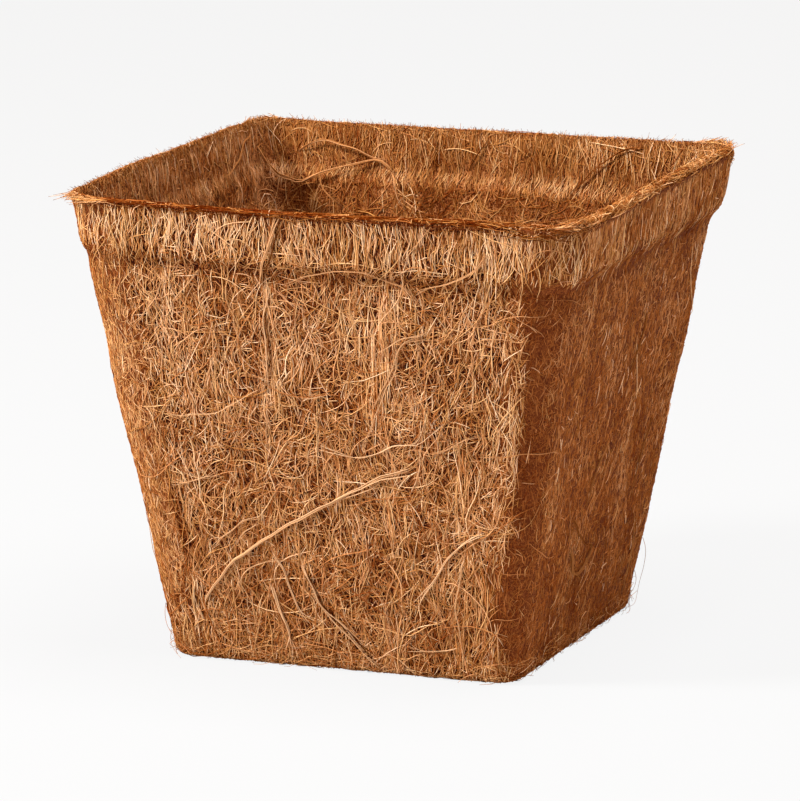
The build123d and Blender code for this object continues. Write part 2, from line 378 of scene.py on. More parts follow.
def coir_felt(name, stops):
    """Coir felt pressed hot with latex: a mat of short fibres every way, seen between the loose ones."""
    made, tree = new_material(name)
    place = add(tree, "TexCoord").outputs["Object"]
    height = None
    for turn, grain in STREAKS:
        size = (grain * MM, grain * MM, STREAK_LENGTH * grain * MM)
        turned = add(tree, "Mapping", {"Vector": place, "Rotation": (turn, turn * 0.9, 0.0), "Scale": size},
                     vector_type="TEXTURE").outputs["Vector"]
        streak = add(tree, "TexNoise", {"Vector": turned, "Scale": 1.0, "Detail": 2.0}).outputs["Fac"]
        if height is None:
            height = streak
        else:
            height = add(tree, "Math", {0: height, 1: streak}, operation="MAXIMUM").outputs["Value"]
    colour = add(tree, "ValToRGB", {"Fac": height}, stops)
    bump = add(tree, "Bump", {"Height": height, "Strength": 0.8, "Distance": 0.3 * MM})
    surface(tree, {"Base Color": colour.outputs["Color"], "Normal": bump.outputs["Normal"],
                   "Roughness": 0.9, "Specular IOR Level": 0.05})
    return made


# The coarse felt's darkest stops, its dark specks, are partly the felt's own dark under-fibres and partly
# painted shade of the gaps between the loose fibres.
COARSE_FELT = coir_felt("coir_felt_coarse", [(0.54, "#160200"), (0.6, "#401200"), (0.67, "#7e4a24"),
                                             (0.76, "#a8764e")])
MATTED_FELT = coir_felt("coir_felt_matted", [(0.5, "#2e0c00"), (0.56, "#5c2b0d"), (0.63, "#84502a"),
                                             (0.75, "#a06c40")])
FINE_FELT = coir_felt("coir_felt_fine", [(0.46, "#421806"), (0.58, "#5c2b10"), (0.68, "#77421d"),
                                         (0.8, "#93592c")])
print("materials", [m.name for m in bpy.data.materials if m.name.startswith("coir")])

# %% [markdown]
# ## The felt pads
# Each wall, each corner strip and the floor is a pad of felt. A pad could be cut from the solid,
# but that is made of long thin triangles and can't swell. So each pad starts as a flat grid, every
# point of the grid is bent round the pot, and Solidify gives the sheet its thickness inwards.

# %% Felt pads of the walls and corners
PAD_GRAIN = 1.8       # size of a pad's faces
LAP_HALF = 2.5        # from the middle of a pressed lap to where the corner starts to bend
CORNER_SPAN = 22      # from seam to seam of a corner strip, about


def finish_piece(mesh, name, material, slot, *nodes):
    """Links a finished mesh at the origin, paints it and lets it ride on the pot."""
    mesh.materials.append(material)
    mesh.shade_smooth()
    piece = bpy.data.objects.new(name, mesh)
    bpy.context.scene.collection.objects.link(piece)
    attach(piece, "root")
    if nodes:
        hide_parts(*nodes)
    return piece


def pad(node, columns, rows, bend, slot, material):
    """A felt pad from a grid. bend turns the grid's shares, from 0 to 1 both ways, into points."""
    sheet = bmesh.new()
    bmesh.ops.create_grid(sheet, x_segments=columns, y_segments=rows, size=0.5)
    shares = np.array([vertex.co[:2] for vertex in sheet.verts]) + 0.5
    for vertex, point in zip(sheet.verts, bend(shares[:, 0], shares[:, 1])):
        vertex.co = Vector(point) * MM
    for edge in sheet.edges:
        edge.smooth = not edge.is_boundary
    mesh = bpy.data.meshes.new(node)
    sheet.to_mesh(mesh)
    sheet.free()
    piece = finish_piece(mesh, node + "_felt", material, slot, node)
    thick = piece.modifiers.new("felt thickness", "SOLIDIFY")
    thick.thickness = CORE * MM
    thick.offset = -1.0


def felt_bend(wall, corner):
    """The bend of a wall pad, from seam to seam, or of the corner strip at the wall's right end."""
    def bend(across, up):
        t = up * OUTSIDE.t[-1]
        half, z, flat = at(OUTSIDE, t)
        near = flat - LAP_HALF
        far = flat + (half - flat) * math.pi / 2 + LAP_HALF
        x = near + across * (far - near) if corner else (2 * across - 1) * near
        return on_felt(OUTSIDE, wall, x, t)
    return bend


def base_bend(across, up):
    """The base mat, which lies flat between the walls' feet."""
    return np.stack([(2 * across - 1) * TOE, (1 - 2 * up) * TOE, np.full_like(up, FUZZ)], axis=-1)


CORNERS = ["front_right", "back_right", "back_left", "front_left"]
WALL_FELTS = [COARSE_FELT, FINE_FELT, MATTED_FELT, MATTED_FELT]
CORNER_FELTS = [FINE_FELT, FINE_FELT, MATTED_FELT, FINE_FELT]
WALL_CELLS, CORNER_CELLS = round(2 * BASE_HALF / PAD_GRAIN), round(CORNER_SPAN / PAD_GRAIN)
BASE_CELLS, PAD_ROWS = round(2 * TOE / PAD_GRAIN), round(OUTSIDE.t[-1] / PAD_GRAIN)
for wall in range(4):
    pad(WALLS[wall] + "_wall", WALL_CELLS, PAD_ROWS, felt_bend(wall, False), "coir_felt", WALL_FELTS[wall])
    pad(CORNERS[wall] + "_corner", CORNER_CELLS, PAD_ROWS, felt_bend(wall, True), "coir_lap",
        CORNER_FELTS[wall])
pad("base_mat", BASE_CELLS, BASE_CELLS, base_bend, "coir_felt", FINE_FELT)

# %% [markdown]
# ## Fibres
# A hair system could cover the felt, but hair doesn't export as a mesh. So each fibre is a curve
# with a three sided section, thin at its ends, and all fibres of a patch become one mesh. A fibre
# is drawn on the flat sheet as a heading that drifts, then bent round the pot. Its ends dive into
# the felt and its middle stands off it, which gives the small shadows that make felt look deep.

# %% How fibres become a mesh
TINT_WIDTH = 0.006    # width of a fibre's stripe on the tint map
# A fibre's ends are painted darker over this stretch: painted shade where they dive into the felt.
FADE = 1.1            # stretch at each end of a fibre over which it darkens
END_PLACE = 0.01      # place of an end on the fade


def section(sides):
    """A ring of radius one, which a fibre's curve sweeps along."""
    ring = bpy.data.curves.new(f"section_{sides}", "CURVE")
    ring.dimensions = "2D"
    line = ring.splines.new("POLY")
    line.points.add(sides - 1)
    line.use_cyclic_u = True
    for step, point in enumerate(line.points):
        angle = math.pi / 2 + 2 * math.pi * step / sides
        point.co = (math.cos(angle), math.sin(angle), 0.0, 1.0)
    return bpy.data.objects.new(f"section_{sides}", ring)


SECTIONS = {sides: section(sides) for sides in (3, 5)}


def ways_in(paths):
    """For each point of each fibre, its way in from the fibre's nearest end, as a share of the fade."""
    steps = np.linalg.norm(np.diff(paths, axis=1), axis=2)
    along = np.concatenate([np.zeros((len(paths), 1)), np.cumsum(steps, axis=1)], axis=1)
    return np.clip(np.minimum(along, along[:, -1:] - along) / FADE, END_PLACE, 1 - END_PLACE)


def spun(name, layers, slot, *nodes, sides=3, material=FIBRE):
    """Turns layers of fibres into one mesh with their tint map.

    A layer is its paths, one row for each fibre, their radii and their places on the tint map."""
    curve = bpy.data.curves.new(name, "CURVE")
    curve.dimensions = "3D"
    curve.bevel_mode = "OBJECT"
    curve.bevel_object = SECTIONS[sides]
    curve.use_fill_caps = True
    for paths, radii, tints in layers:
        count, points = paths.shape[:2]
        rows = np.concatenate([paths * MM, np.ones((count, points, 1))], axis=2)
        for row, radius in zip(rows, radii * MM):
            spline = curve.splines.new("POLY")
            spline.points.add(points - 1)
            spline.points.foreach_set("co", row.ravel())
            spline.points.foreach_set("radius", radius)
    holder = bpy.data.objects.new(name, curve)
    bpy.context.scene.collection.objects.link(holder)
    mesh = bpy.data.meshes.new_from_object(holder.evaluated_get(bpy.context.evaluated_depsgraph_get()))
    bpy.data.objects.remove(holder)
    bpy.data.curves.remove(curve)
    # The mesh holds the caps of all fibres first, two rings each, and then the rings along each fibre.
    fibres = sum(len(tints) for paths, radii, tints in layers)
    tint = np.repeat(np.concatenate([tints for paths, radii, tints in layers]), 2 * sides)
    way = np.full(2 * sides * fibres, END_PLACE)
    for paths, radii, tints in layers:
        tint = np.r_[tint, np.repeat(tints, sides * paths.shape[1])]
        way = np.r_[way, np.repeat(ways_in(paths), sides)]
    around = np.arange(len(way)) % sides / (sides - 1) - 0.5
    corner = np.empty(len(mesh.loops), dtype=np.int64)
    mesh.loops.foreach_get("vertex_index", corner)
    layer = mesh.uv_layers[0]
    layer.name = FIBRE_MAP
    layer.data.foreach_set("uv", np.stack([tint + around * TINT_WIDTH, way], axis=1)[corner].ravel())
    mesh.name = name
    print(name, fibres, "fibres,", sum(len(face.vertices) - 2 for face in mesh.polygons), "triangles")
    finish_piece(mesh, name, material, slot, *nodes)


print("sections with", list(SECTIONS), "sides")

# %% [markdown]
# Fibres on real felt aren't spread evenly: they lie in tufts that share a direction and a colour.
# So each wall has slow random patches, and a fibre asks the patch under it how it lies. Ten kinds
# build up the depth, from dark short ones in the bed to a few long loose ones on top.

# %% The kinds of fibre, and how one is drawn
PATCH_WAVES = 12


@dataclass(eq=False)
class Kind:
    """A kind of fibre. Each pair holds the least and the most."""
    points: int       # on its path
    length: tuple
    width: tuple
    sink: tuple       # lift of its ends, which mostly dive into the felt
    rise: tuple       # lift of its middle
    curl: float       # how fast its heading turns, in radians for each millimetre
    waver: float      # how far its heading wavers, in radians
    tint: float       # from 0, dark, to 1, light
    spread: float     # of its tints


BED = Kind(3, (2.0, 4.5), (0.2, 0.3), (-0.2, -0.08), (-0.08, 0.06), 0.3, 0.5, 0.36, 0.1)     # short and dark
NAP = Kind(3, (2.2, 5.0), (0.11, 0.16), (-0.15, -0.02), (0.0, 0.12), 0.26, 0.5, 0.5, 0.08)   # fine
MAT = Kind(4, (2.6, 6.5), (0.13, 0.19), (-0.14, 0.0), (0.02, 0.2), 0.22, 0.45, 0.62, 0.2)    # curled
FACE = Kind(8, (5.0, 14.0), (0.14, 0.21), (-0.12, 0.0), (0.1, 0.26), 0.15, 0.5, 0.7, 0.14)   # longer
BUNDLE = Kind(6, (7.0, 18.0), (0.15, 0.22), (-0.1, 0.0), (0.12, 0.26), 0.03, 0.15, 0.63, 0.14)  # straight
LOOSE = Kind(14, (12.0, 30.0), (0.14, 0.2), (-0.1, 0.1), (0.2, 0.4), 0.06, 0.5, 0.58, 0.1)   # the longest
ARC = Kind(10, (9.0, 22.0), (0.16, 0.24), (-0.1, 0.05), (0.18, 0.34), 0.09, 0.35, 0.62, 0.14)   # arched
TUFT = replace(MAT, length=(3.0, 7.0), tint=0.36)                               # dark, on the right collar
LINING = replace(MAT, points=5, length=(4.0, 10.0), curl=0.12, spread=0.13)     # near the top, inside
STRAY = replace(LINING, points=6, length=(5.0, 14.0), tint=0.56)                # scattered low inside


def patches(seed, size, stretch=1.0):
    """A slow random field on the flat sheet, about -1 to 1, with patches of a size, drawn out upwards."""
    lengths, ways, starts = slow_waves(seed, PATCH_WAVES, size * 0.7, size * 1.8, 2)
    ways[:, 1] /= stretch
    even = math.sqrt(2 / PATCH_WAVES)
    return lambda x, t: np.sin(np.stack([x, t], axis=-1) @ ways.T + starts).sum(axis=-1) * even


def middle_out(steps, step):
    """Running sums of steps along each fibre, counted from its middle."""
    sums = np.cumsum(steps * step, axis=1)
    return sums - sums[:, [steps.shape[1] // 2]]


def arched(draw, kind, count):
    """Lift and radius along fibres whose ends dive into the felt."""
    arch = np.sin(np.linspace(0, math.pi, kind.points))
    sink, rise = draw.uniform(*kind.sink, (count, 1)), draw.uniform(*kind.rise, (count, 1))
    lift = sink + (rise - sink) * arch ** 0.6 + draw.normal(0, 0.04, (count, kind.points))
    return lift, draw.uniform(*kind.width, (count, 1)) / 2 * (0.4 + 0.6 * arch ** 0.5)


def wandering(draw, kind, x, t, heading, curl):
    """Lines on the flat sheet through places x and t, which set out on a heading and curl."""
    count = len(x)
    length = draw.uniform(*kind.length, count)[:, None]
    s = np.linspace(-0.5, 0.5, kind.points) * length
    waver = draw.uniform(0.0, kind.waver, (count, 1))
    waver = waver * np.sin(s / draw.uniform(1.2, 4, (count, 1)) + t[:, None])
    angle = heading[:, None] + curl[:, None] * s + waver
    step = length / (kind.points - 1)
    return x[:, None] + middle_out(np.sin(angle), step), t[:, None] + middle_out(np.cos(angle), step)


print("the longest fibres are", LOOSE.length[1], "mm long")

# %% [markdown]
# At the front left corner the corner strip's end shows: it was laid over the front pad, is smooth,
# and ends in a round tongue some way above the ground. So the front's longer fibres keep off the
# tongue, it gets a layer of fine fibres of its own, and painted shade runs round its lower end, a
# dark line where the tongue's edge would cast its shadow. At the front right corner the smooth, dark
# felt of the right wall comes round to the front and ends there in an upright seam. Only on the
# collar does the front's felt go round the corner instead.

# %% The front's two laps, and where the kinds of fibre lie
LAP_END, LAP_EDGE = 14.0, -32.0
LAP_ROUND, LAP_CURVE = 8.0, 7.0    # height and width of the tongue's round end
# The dark line round the tongue is painted shade: it ends at this height and fades out over this stretch.
TONGUE_SHADE_TOP, TONGUE_SHADE_FADE = 40.0, 8.0    # the seam round the tongue ends at this height, and fades out over this
LAP_THINS = 7.0       # stretch of the left wall over which the tongue's fibres thin out
SEAM_HEIGHTS = [4.0, 12.0, 21.0, 35.0, 63.0, 88.0]
SEAM_PAST = [3.5, 0.0, 0.0, 2.0, 2.8, 0.8]    # how far past the start of the bend the right seam runs there
COLLAR_PAST = 12.0    # and how far round the corner the front's felt goes on the collar
LEDGE, LEDGE_HALF = 88.9, 1.5      # height of the ledge that the shoulder makes inside, and half its width
# Upright bundles: their middle along the wall and up it, half their width and half their height.
BUNDLES = [(11.8, 66, 3.6, 14), (16, 80, 3.2, 7), (10, 94, 1.4, 6), (37.5, 94, 2.2, 6), (13.5, 36, 1.6, 8),
           (29.5, 40, 1.6, 12), (27.5, 15, 1.8, 11), (-23.5, 66, 1.6, 9), (-10.5, 72, 1.2, 12)]
TANGLE_TOP, TANGLE_SWAY = 24, 18   # ragged upper limit of the front's low tangle
FINE_FOOT, FINE_SWAY = 76, 4.5     # ragged lower limit of the fine fibres inside


def lap_depth(x, z):
    """How far inside the tongue's outline a place on the front wall lies."""
    edge = LAP_EDGE - SLOPE * (z - LAP_END)
    foot = LAP_END + LAP_ROUND * rising(x - edge, -LAP_CURVE, 0.0) ** 3
    return np.minimum(np.minimum(edge - x, z - foot), SHOULDER_FOOT - z)


def lap_thins(x, z):
    """Whether a fibre of the tongue stays: round the corner, on the left wall, they thin out."""
    past = -x - flat_half(z) - bend_length(z)
    return (lap_depth(x, z) > 0) & (past / LAP_THINS < 0.5 + 0.6 * patches(90, 1.0)(x, z))


def seam_past(z):
    """How far past the start of the front right corner the front's felt ends at a height."""
    return np.where(z > COLLAR_FOOT, COLLAR_PAST, np.interp(z, SEAM_HEIGHTS, SEAM_PAST))


def on_front(x, z):
    """Whether a place on the front's sheet lies on the front's own felt, left of the right seam."""
    return x < flat_half(z) + seam_past(z)


def off_lap(x, z):
    """Whether a place on the front's sheet lies between the tongue and the right seam."""
    return on_front(x, z) & (lap_depth(x, z) <= 0)


def on_right(x, z):
    """Whether a place on the right wall's sheet lies on the right wall's own felt."""
    return x > seam_past(z) - flat_half(z) - bend_length(z)


def right_collar(x, z):
    """Whether such a place lies on the right wall's collar."""
    return on_right(x, z) & (z > COLLAR_FOOT)


def bundled(x, z):
    """Whether a place lies in one of the upright bundles."""
    inside = [((x - across) / half) ** 2 + ((z - up) / tall) ** 2 < 1 for across, up, half, tall in BUNDLES]
    return np.any(inside, axis=0)


def in_bundle(x, z):
    """Whether a place lies in a bundle and off the front's laps."""
    return bundled(x, z) & off_lap(x, z)


def low_tangle(x, z):
    """Whether a place lies low on the front, where long fibres cross, and off its laps."""
    return off_lap(x, z) & (z < TANGLE_TOP + TANGLE_SWAY * patches(91, 14.0)(x, z))


def upper(x, z):
    """Whether a place on the inside lies above the ragged line where the fine fibres thin out."""
    return z > FINE_FOOT + FINE_SWAY * patches(93, 7.0)(x, z)


def off_ledge(x, z):
    """Whether such a place also lies off the ledge, which stays smooth."""
    return upper(x, z) & (np.abs(z - LEDGE) > LEDGE_HALF + 1)


def tangled(seed):
    """Combing of the front and back: in bundles, here and there, towards the corners and on the collar."""
    field = patches(seed, 5.0, 6.0)

    def share_combed(share, x, z):
        wall = 0.4 + 0.18 * field(x, z) + 0.3 * rising(np.abs(share), 0.6, 0.85) + 0.3 * bundled(x, z)
        return np.clip(np.maximum(wall, 0.88 * rising(z, COLLAR_FOOT, COLLAR_FOOT + 2)), 0.05, 0.95)
    return share_combed


def lapped(share, x, z):
    """Combing of the tongue, whose fine fibres nearly all run up the wall."""
    return np.full_like(x, 0.8)


def felted(share, x, z):
    """Combing of the two side walls, where fine fibres lie every way and a few run up the wall."""
    return np.where(z > COLLAR_FOOT, 0.7, 0.35)


def half_combed(share, x, z):
    """Combing of the inside: fibres stand upright on the ledge and above it, and are tangled below it."""
    return np.where(z > LEDGE + LEDGE_HALF, 0.75, np.where(z > LEDGE - LEDGE_HALF, 1.0, 0.35))


print("the right seam ends up to", max(SEAM_PAST), "mm past the start of the bend on the wall")

# %% [markdown]
# Each fibre is a little lighter or darker by its place, and much of that is painted light and shade
# rather than the felt's own colour. Outside, painted shade darkens the crease under the collar, the
# edge round the tongue and the front left corner, and fibres are also darker towards the bottom and
# towards the front right corner. Inside, painted light makes the ledge and the rim lighter, and
# painted shade darkens the wall below the ledge and deep down. The patches add uneven tufts to that.


# %% One layer of fibres on a wall
COLLAR_SLANT = 0.18   # how far the fibres on the left of the front's collar lean to the right
HEADING_PATCH, TINT_PATCH, STRAW_PATCH = 9.0, 14.0, 20.0    # sizes of patches that share these


def outer_light(wall, kind, x, z, flat):
    """How much lighter a fibre outside is for its place, or darker where that is below 0.

    Much of it is painted shade: in the crease, round the tongue's edge and round the front left corner.
    """
    front, collar = wall == 0, z > COLLAR_FOOT
    # Painted shade: fibres are darker in the crease under the collar, where the collar's shadow falls. They
    # are also darker towards the bottom.
    crease = np.interp(x, [-30.0, 15.0, 25.0], [0.28, 0.26, 0.36]) if front else 0.2
    fold = SHOULDER_FOOT + 0.2 + rising(-x, 10.0, 40.0) * front
    light = 0.15 * (z / HEIGHT - 0.58) - crease * peak(z, fold, 1.5)
    round_left = -(x + flat) / bend_length(z)
    if front:
        depth = lap_depth(x, z)
        light += 0.1 * peak(x, -28.0, 14.0) * collar - 0.04 * collar
        # Painted shade round the tongue's lower edge, where its edge would cast a shadow.
        light -= 0.25 * peak(depth, -0.8, 1.0) * rising(-z, -TONGUE_SHADE_TOP, TONGUE_SHADE_FADE - TONGUE_SHADE_TOP)
        # Bed fibres are darker off the tongue, partly their own colour and partly painted shade of the gaps
        # between the fibres over them, and lighter on the smooth tongue.
        light += np.where(depth > 0, 0.2, -0.22) * (kind is BED)
        # Painted shade round the front left corner and along the pot's left edge.
        light -= 0.08 * rising(round_left, 0.0, 0.3) + 0.25 * rising(round_left, 0.5, 0.7)
    if wall == 1:
        light -= 0.16 * rising(round_left, 0.0, 1.0)
    if wall == 3:
        # Painted shade on the left wall towards the front left corner.
        light -= 0.2 * rising(x - flat, -4.0, 4.0)
    return light


def inner_light(wall, kind, x, z, flat):
    """The same for a fibre inside. Much of it is painted light on the ledge and at the rim, and painted
    shade below the ledge and deep down, with the back left corner below the ledge painted lighter.
    """
    lit = 0.27 if wall == 2 else 0.05
    # Painted light on the ledge, which faces up, and painted shade below it.
    light = lit * peak(z, LEDGE, LEDGE_HALF, 4) - 0.05 * (z < LEDGE) + 0.05 * patches(92, 6.0, 2.0)(x, z)
    ledge_top = LEDGE + LEDGE_HALF
    # Painted shade deep down and just above the ledge, and painted light at the rim.
    heights = [4.0, 8.0, ledge_top, ledge_top + 1, 95.0, 98.5]
    light += np.interp(z, heights, [-0.25, 0.0, 0.0, -0.05, 0.0, 0.1])
    if wall == 2:
        light += np.interp(x, [-20.0, -5.0, 24.0, 32.0], [0.07, 0.0, 0.0, -0.03]) * (z > ledge_top)
    # Painted light in the shaded back left corner below the ledge.
    if wall in (2, 3) and kind in (BED, NAP):
        light += 0.22 * rising((x if wall == 2 else -x) - flat, -5.0, 2.0) * (z < LEDGE)
    return light


def cover(face, wall, kind, count, span, seed, combing, straw, shade=0.0, reach=(-1, 1), keep=None):
    """A layer of one kind of fibre on a wall, over a span of its outline, darker or lighter by shade.

    combing says which share of them run up the wall, and straw which share are straw. reach is the stretch
    of the wall that they cover, from -1 to 1 between the middles of its corners. keep says which of them
    stay, by their place along the wall and their height."""
    draw = np.random.default_rng(seed)
    low, high = span
    t = draw.uniform(low, high, count)
    share = draw.uniform(*reach, count)
    half, z, flat = at(face, t)
    x = share * (flat + (half - flat) * math.pi / 4)
    if keep:
        stay = keep(x, z)
        t, share, z, x, flat = (values[stay] for values in (t, share, z, x, flat))
        count = len(x)
    combed = draw.uniform(size=count) < combing(share, x, z)
    collar = z > COLLAR_FOOT
    lean = share * np.abs(share) * SLOPE + COLLAR_SLANT * collar * rising(-x, -20.0, 40.0) * (wall == 0)
    tuft = patches(seed + 1, HEADING_PATCH)(x, t) * 1.3
    loose = np.where(collar, 0.4, 0.7) * kind.waver
    heading = np.where(combed, lean + draw.normal(0, 1, count) * loose, tuft + draw.normal(0, 0.9, count))
    curl = draw.normal(0, kind.curl, count) * np.where(combed, 0.3, 1.0)
    xs, ts = wandering(draw, kind, x, t, heading, curl)
    ts -= np.maximum(ts.max(axis=1) - high, 0)[:, None]
    ts += np.maximum(low - ts.min(axis=1), 0)[:, None]
    lift, radii = arched(draw, kind, count)
    light = (outer_light if face is OUTSIDE else inner_light)(wall, kind, x, z, flat)
    tints = kind.tint + shade + light + 0.06 * patches(seed + 2, TINT_PATCH, 2.0)(x, t) + 0.06 * combed
    golden = straw + 0.1 * patches(seed + 3, STRAW_PATCH)(x, t) + 0.2 * collar
    colours = shades(draw, tints + draw.normal(0, kind.spread, count), golden)
    return on_felt(face, wall, xs, ts, lift), radii, colours


OUTER_SPAN = (2.0, float(OUTSIDE.t[-1]))
INNER_SPAN = (float(up_to(INSIDE, 2.2)), float(INSIDE.t[-1]))
TOP_SPAN = (float(up_to(INSIDE, 72.0)), float(INSIDE.t[-1]))
LOW_SPAN = (INNER_SPAN[0], float(up_to(INSIDE, 80.0)))
print("fibre tools ready; inside, the fibres start", round(INNER_SPAN[0], 1), "mm up the outline")

# %% [markdown]
# The front is coarse and tangled, and the right wall is smooth and dark. The back is made like the
# front and the left wall like the right one. One list of layers could serve all four, but they would
# look alike then, so each wall has its own. Every layer also has its own seed, so that one can be
# changed without the others.

# %% The walls outside
# Each piece has its wall, its share of straw, how light it is, and the kinds of fibre with their counts.
OUTER_LAYERS = {"front_bed": (0, 0.5, -0.02, [(BED, 7500), (BUNDLE, 4000), (LOOSE, 150), (ARC, 900)]),
                "front_mat": (0, 0.5, -0.03, [(MAT, 11200)]),
                "front_face": (0, 0.5, -0.03, [(MAT, 6600), (FACE, 1900)]),
                "right_bed": (1, 0.1, 0.05, [(BED, 5200), (MAT, 500), (LOOSE, 24), (TUFT, 4500)]),
                "right_nap": (1, 0.1, -0.05, [(NAP, 15000)]),
                "back_mat": (2, 0.5, 0.0, [(BED, 3000), (MAT, 5800), (FACE, 450), (BUNDLE, 1500),
                                           (LOOSE, 80)]),
                "left_nap": (3, 0.4, 0.0, [(BED, 2600), (NAP, 8500), (MAT, 500), (LOOSE, 40)])}
REACHES = [(-1.0, 1.35), (-1.3, 1.0), (-1.0, 1.0), (-1.0, 1.0)]
OUTER_KEEP = {BUNDLE: in_bundle, ARC: low_tangle, TUFT: right_collar}
for number, (name, (wall, straw, shade, layers)) in enumerate(OUTER_LAYERS.items()):
    combing = tangled(40 + wall) if wall % 2 == 0 else felted
    drawn = []
    for layer, (kind, count) in enumerate(layers):
        keep = OUTER_KEEP.get(kind, [on_front if kind is BED else off_lap, on_right, None, None][wall])
        drawn.append(cover(OUTSIDE, wall, kind, count, OUTER_SPAN, 100 * number + 10 * layer, combing, straw,
                           shade, REACHES[wall], keep))
    spun(f"{name}_fibres", drawn, "coir_felt")
lap = [cover(OUTSIDE, 0, kind, count, OUTER_SPAN, 800 + 10 * layer, lapped, 0.6, shade, (-1.35, -0.7),
             lap_thins)
       for layer, (kind, count, shade) in enumerate([(NAP, 9500, 0.12), (MAT, 500, 0.06)])]
spun("front_left_lap_fibres", lap, "coir_lap")

# %% [markdown]
# Inside, the shoulder makes a ledge. On it and above it the fibres stand upright, and below it they
# are tangled. From the front only the top shows past the rim, so the fine fibres thin out some way
# down and a few strays go on to the floor. An even cover would look the same and need a bigger mesh.

# %% The walls inside
# Each piece has its share of straw, how light it is, and the kinds of fibre with their counts.
UNSEEN = (0.3, -0.06, [(BED, 1800), (NAP, 1900), (STRAY, 380)])
INNER_LAYERS = {"front_inner": UNSEEN,
                "right_inner": UNSEEN,
                "back_inner": (0.6, -0.2, [(BED, 3200), (NAP, 6000), (LINING, 2000), (FACE, 110), (LOOSE, 8),
                                           (STRAY, 380)]),
                "left_inner": (0.1, -0.04, [(BED, 2800), (NAP, 5500), (LINING, 500), (FACE, 60),
                                            (STRAY, 380)])}
INNER_SPANS = {BED: INNER_SPAN, STRAY: LOW_SPAN}
INNER_KEEP = {NAP: upper, LINING: off_ledge, FACE: off_ledge, LOOSE: off_ledge}
for wall, (name, (straw, shade, layers)) in enumerate(INNER_LAYERS.items()):
    drawn = [cover(INSIDE, wall, kind, count, INNER_SPANS.get(kind, TOP_SPAN), 1000 + 100 * wall + 10 * layer,
                   half_combed, straw, shade, keep=INNER_KEEP.get(kind))
             for layer, (kind, count) in enumerate(layers)]
    spun(f"{name}_fibres", drawn, "coir_felt")

# %% [markdown]
# The floor of the pot is one flat pad, whose fibres lie every way. The bend round the pot isn't
# needed there, so they are drawn straight on the plane, above the pad and under it.


# %% The pot's floor and underside
def flat_cover(kind, count, half, level, side, seed):
    """A layer of fibres on the floor, with side 1, or under it, with side -1."""
    draw = np.random.default_rng(seed)
    x, y = draw.uniform(-half, half, (2, count))
    heading = draw.uniform(0, 2 * math.pi, count)
    xs, ys = wandering(draw, kind, x, y, heading, draw.normal(0, kind.curl, count))
    lift, radii = arched(draw, kind, count)
    paths = np.stack([np.clip(xs, -half, half), np.clip(ys, -half, half), level + side * lift * 0.8], axis=-1)
    return paths, radii, shades(draw, draw.normal(kind.tint - 0.05, kind.spread, count), 0.3)


FLOOR_FIBRES = 1100
for name, half, level, side in (("floor", 36.8, FELT - FUZZ, 1), ("underside", TOE + 2.0, FUZZ, -1)):
    drawn = [flat_cover(kind, FLOOR_FIBRES, half, level, side, 1500 + 10 * layer + side)
             for layer, kind in enumerate([BED, NAP])]
    spun(f"{name}_fibres", drawn, "coir_felt")

# %% [markdown]
# ## The rim
# The pot is cut free at its lip, and the cut edge frays. Along the edge the fibres were rolled flat
# by the press, so in front they run along it like a rope. On the right they stand loose, and about
# the right corners some hang over the collar. Above the edge short cut ends stand up, and at each
# corner they gather into a tip.

# %% Rope of the rim, its cut ends and its corner tips
ROPE = SimpleNamespace(points=6, width=(0.12, 0.19), sink=(-0.2, -0.05), rise=(-0.05, 0.25))
RIM_REACH = LIP_CORE - 3.0
ROPE_SPREADS = [0.24, 0.14, 0.2, 0.2]     # of the rope's tints, by wall
TIP_CORNER = RIM_REACH - 5.0 + RIM_CORNER_RADIUS * math.pi / 4


def puffed(wall, x):
    """How high the loose fibres stand on the lip: mostly on the right, and on the right end in front."""
    if wall == 0:
        return 0.9 * rising(x, 0, 45)
    return 1.7 - 0.6 * rising(x, 0, 50) if wall == 1 else 0 * x


def hanging(wall, x):
    """How far the loosest fibres hang below the lip: only about the two corners of the right wall."""
    none = 0 * x
    front_right = [rising(x, 34, 48), rising(-x, 42, 52), none, none][wall]
    back_right = [none, rising(x, 42, 52), rising(-x, 44, 52), none][wall]
    return 2.2 * front_right + 3.0 * back_right


def lean_out(paths, by):
    """Moves points of fibres away from the pot's axis."""
    away = paths[..., :2] / np.linalg.norm(paths[..., :2], axis=-1, keepdims=True)
    paths[..., :2] += away * by[..., None]


def thinning(draw, least, most, count, u):
    """Radii of cut ends, which are half as thick at their tip as at their root."""
    return draw.uniform(least, most, (count, 1)) / 2 * (1 - 0.5 * u)


